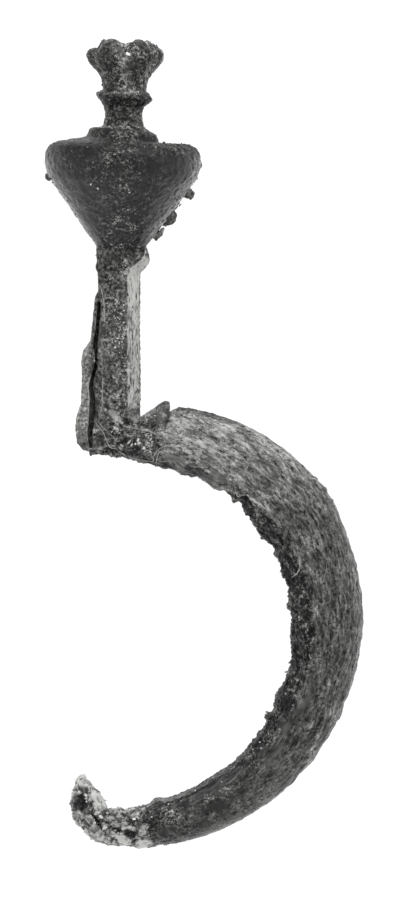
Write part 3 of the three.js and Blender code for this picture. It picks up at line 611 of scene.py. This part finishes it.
# Dry rootlets of the ground it lay in: hair-thin, they cross the heel and run along the edge of the slot.
ROOTLETS = (
    ((-9.51, 2.48), (-9.4, 1.97), (-8.69, 1.04), (-8.37, 0.32), (-8.07, -0.29), (-7.46, -0.48),
     (-6.94, -0.91), (-6.11, -1.2), (-5.41, -1.35), (-4.37, -1.55)),
    ((-9.14, 3.26), (-8.99, 2.37), (-8.97, 1.76), (-8.48, 1.25), (-7.86, 0.62), (-7.4, 0.17)),
    ((-6.94, 1.56), (-6.11, 1.35), (-5.4, 1.25), (-4.37, 0.94), (-3.96, 0.73), (-3.39, 0.78), (-2.38, 0.43)),
    ((-4.37, -1.5), (-4.22, -0.91), (-3.75, -0.4), (-2.94, -0.15)),
    ((-4.06, -1.6), (-3.91, -0.91), (-3.55, -0.61)),
    ((-8.37, 0.32), (-8.18, -0.09), (-7.88, -0.22)),
    ((8.23, -9.87), (8.29, -10.52), (8.1, -11.0), (7.6, -11.52)),
    ((-8.88, 13.6), (-8.65, 12.73), (-8.53, 11.52), (-8.5, 10.48)),
    ((-8.72, 9.09), (-8.76, 7.88), (-8.74, 6.67)),
    ((-8.7, 5.63), (-8.7, 4.24), (-8.76, 3.12), (-8.97, 2.42)),
)
ROOTLET_RADIUS = 0.05
ROOTLET_WANDER = 0.02
ROOTLET_STEPS = 6  # between two of the points above
ROOTLET_SIDES = 6


def through(stops, steps):
    """Points on a smooth curve through the stops."""
    stops = [2 * stops[0] - stops[1], *stops, 2 * stops[-1] - stops[-2]]
    line = []
    for a, b, c, d in zip(stops, stops[1:], stops[2:], stops[3:]):
        for t in np.arange(steps) / steps:
            square, cube = 2 * a - 5 * b + 4 * c - d, 3 * b - a - 3 * c + d
            line.append(0.5 * (2 * b + (c - a) * t + square * t**2 + cube * t**3))
    return [*line, stops[-2]]


def rootlet(route):
    """Corners and faces of a closed thread that lies on the casting."""
    flat = through([np.array(stop) for stop in route], ROOTLET_STEPS)
    flat = [stop + chance.normal(size=2) * ROOTLET_WANDER for stop in flat]
    line = [np.array([*stop, on_top(*stop).z + ROOTLET_RADIUS * 0.4]) for stop in flat]
    corners = []
    for i, middle in enumerate(line):
        ahead = line[min(i + 1, len(line) - 1)] - line[max(i - 1, 0)]
        side = np.cross(ahead, (0, 0, 1))
        side /= np.linalg.norm(side)
        above = np.cross(side, ahead / np.linalg.norm(ahead))
        radius = ROOTLET_RADIUS * (0.6 + 0.8 * chance.random())
        for turn in np.arange(ROOTLET_SIDES) * 2 * math.pi / ROOTLET_SIDES:
            corner = middle + radius * (math.cos(turn) * side + math.sin(turn) * above)
            corners.append(tuple(corner * MM))
    faces = [list(range(ROOTLET_SIDES)), list(range(len(corners) - 1, len(corners) - ROOTLET_SIDES - 1, -1))]
    for ring in range(0, len(corners) - ROOTLET_SIDES, ROOTLET_SIDES):
        for i in range(ROOTLET_SIDES):
            j = (i + 1) % ROOTLET_SIDES
            faces.append([ring + i, ring + ROOTLET_SIDES + i, ring + ROOTLET_SIDES + j, ring + j])
    return corners, faces


dry_root, wires, shader = new_finish("dry_rootlets")
shade = stored(wires, "shade")
bark = wires.node(
    "ShaderNodeValToRGB", {"stops": [(0.0, (0.2, 0.2, 0.195)), (1.0, (0.42, 0.42, 0.41))]}, Fac=shade,
)
plug(wires, shader, Base_Color=bark, Roughness=0.55)
heap("rootlets", [rootlet(route) for route in ROOTLETS], dry_root)

# The table: a plain white sheet, lit from all round as in a light tent, so it shows hardly any shadow.
TABLE_WIDTH = 4.0
half = TABLE_WIDTH / 2
table_mesh = bpy.data.meshes.new("table")
table_mesh.from_pydata(
    [(-half, -half, 0), (half, -half, 0), (half, half, 0), (-half, half, 0)], [], [(0, 1, 2, 3)],
)
table = bpy.data.objects.new("table", table_mesh)
bpy.context.scene.collection.objects.link(table)
white, wires, shader = new_finish("white_table")
plug(
    wires, shader, Base_Color=(0.2, 0.2, 0.2, 1), Roughness=0.9, Specular_IOR_Level=0.0,
    Emission_Color=(1, 1, 1, 1), Emission_Strength=0.96,
)
table_mesh.materials.append(white)

# The light: a dim ceiling, a bright horizon all round, and a large soft panel beyond the knob.
world = bpy.data.worlds.new("studio")
bpy.context.scene.world = world
world.use_nodes = True
sky = Wire(world.node_tree)
up = sky.node("ShaderNodeSeparateXYZ", out="Z", Vector=sky.node("ShaderNodeTexCoord", out="Generated"))
glow = sky.node(
    "ShaderNodeValToRGB",
    {"stops": [(0.0, 0.6), (0.25, 0.6), (0.6, 0.56), (0.85, 0.36), (1.0, 0.16)]},
    Fac=up,
)
background = world.node_tree.nodes["Background"]
world.node_tree.links.new(glow.socket, background.inputs["Color"])
background.inputs["Strength"].default_value = 1.6


def soft_panel(name, place, size, power):
    """A square lamp that faces the middle of the brooch."""
    lamp = bpy.data.lights.new(name, "AREA")
    lamp.size = size
    lamp.energy = power
    panel = bpy.data.objects.new(name, lamp)
    bpy.context.scene.collection.objects.link(panel)
    panel.location = place
    panel.rotation_mode = "QUATERNION"
    panel.rotation_quaternion = (-Vector(place)).to_track_quat("-Z", "Y")


soft_panel("key_panel", (0.12, 0.42, 0.34), 0.6, 1.8)

# The camera looks straight down on the brooch from a good way off, through a long lens.
PICTURE_PIXELS = (400, 907)
PIXEL = 0.0866 * MM  # of the photograph, on the brooch
PICTURE_MIDDLE = (-0.303 * MM, -0.84 * MM)
LENS = 200.0
SENSOR = 36.0
FOCUS_HEIGHT = 5.0 * MM
lens = bpy.data.cameras.new("camera")
lens.lens = LENS
lens.sensor_width = SENSOR
camera = bpy.data.objects.new("camera", lens)
bpy.context.scene.collection.objects.link(camera)
distance = PICTURE_PIXELS[1] * PIXEL * LENS / SENSOR
camera.location = (*PICTURE_MIDDLE, FOCUS_HEIGHT + distance)
lens.clip_start = distance * 0.1
lens.clip_end = distance * 20
bpy.context.scene.camera = camera
bpy.context.scene.view_settings.view_transform = "Standard"
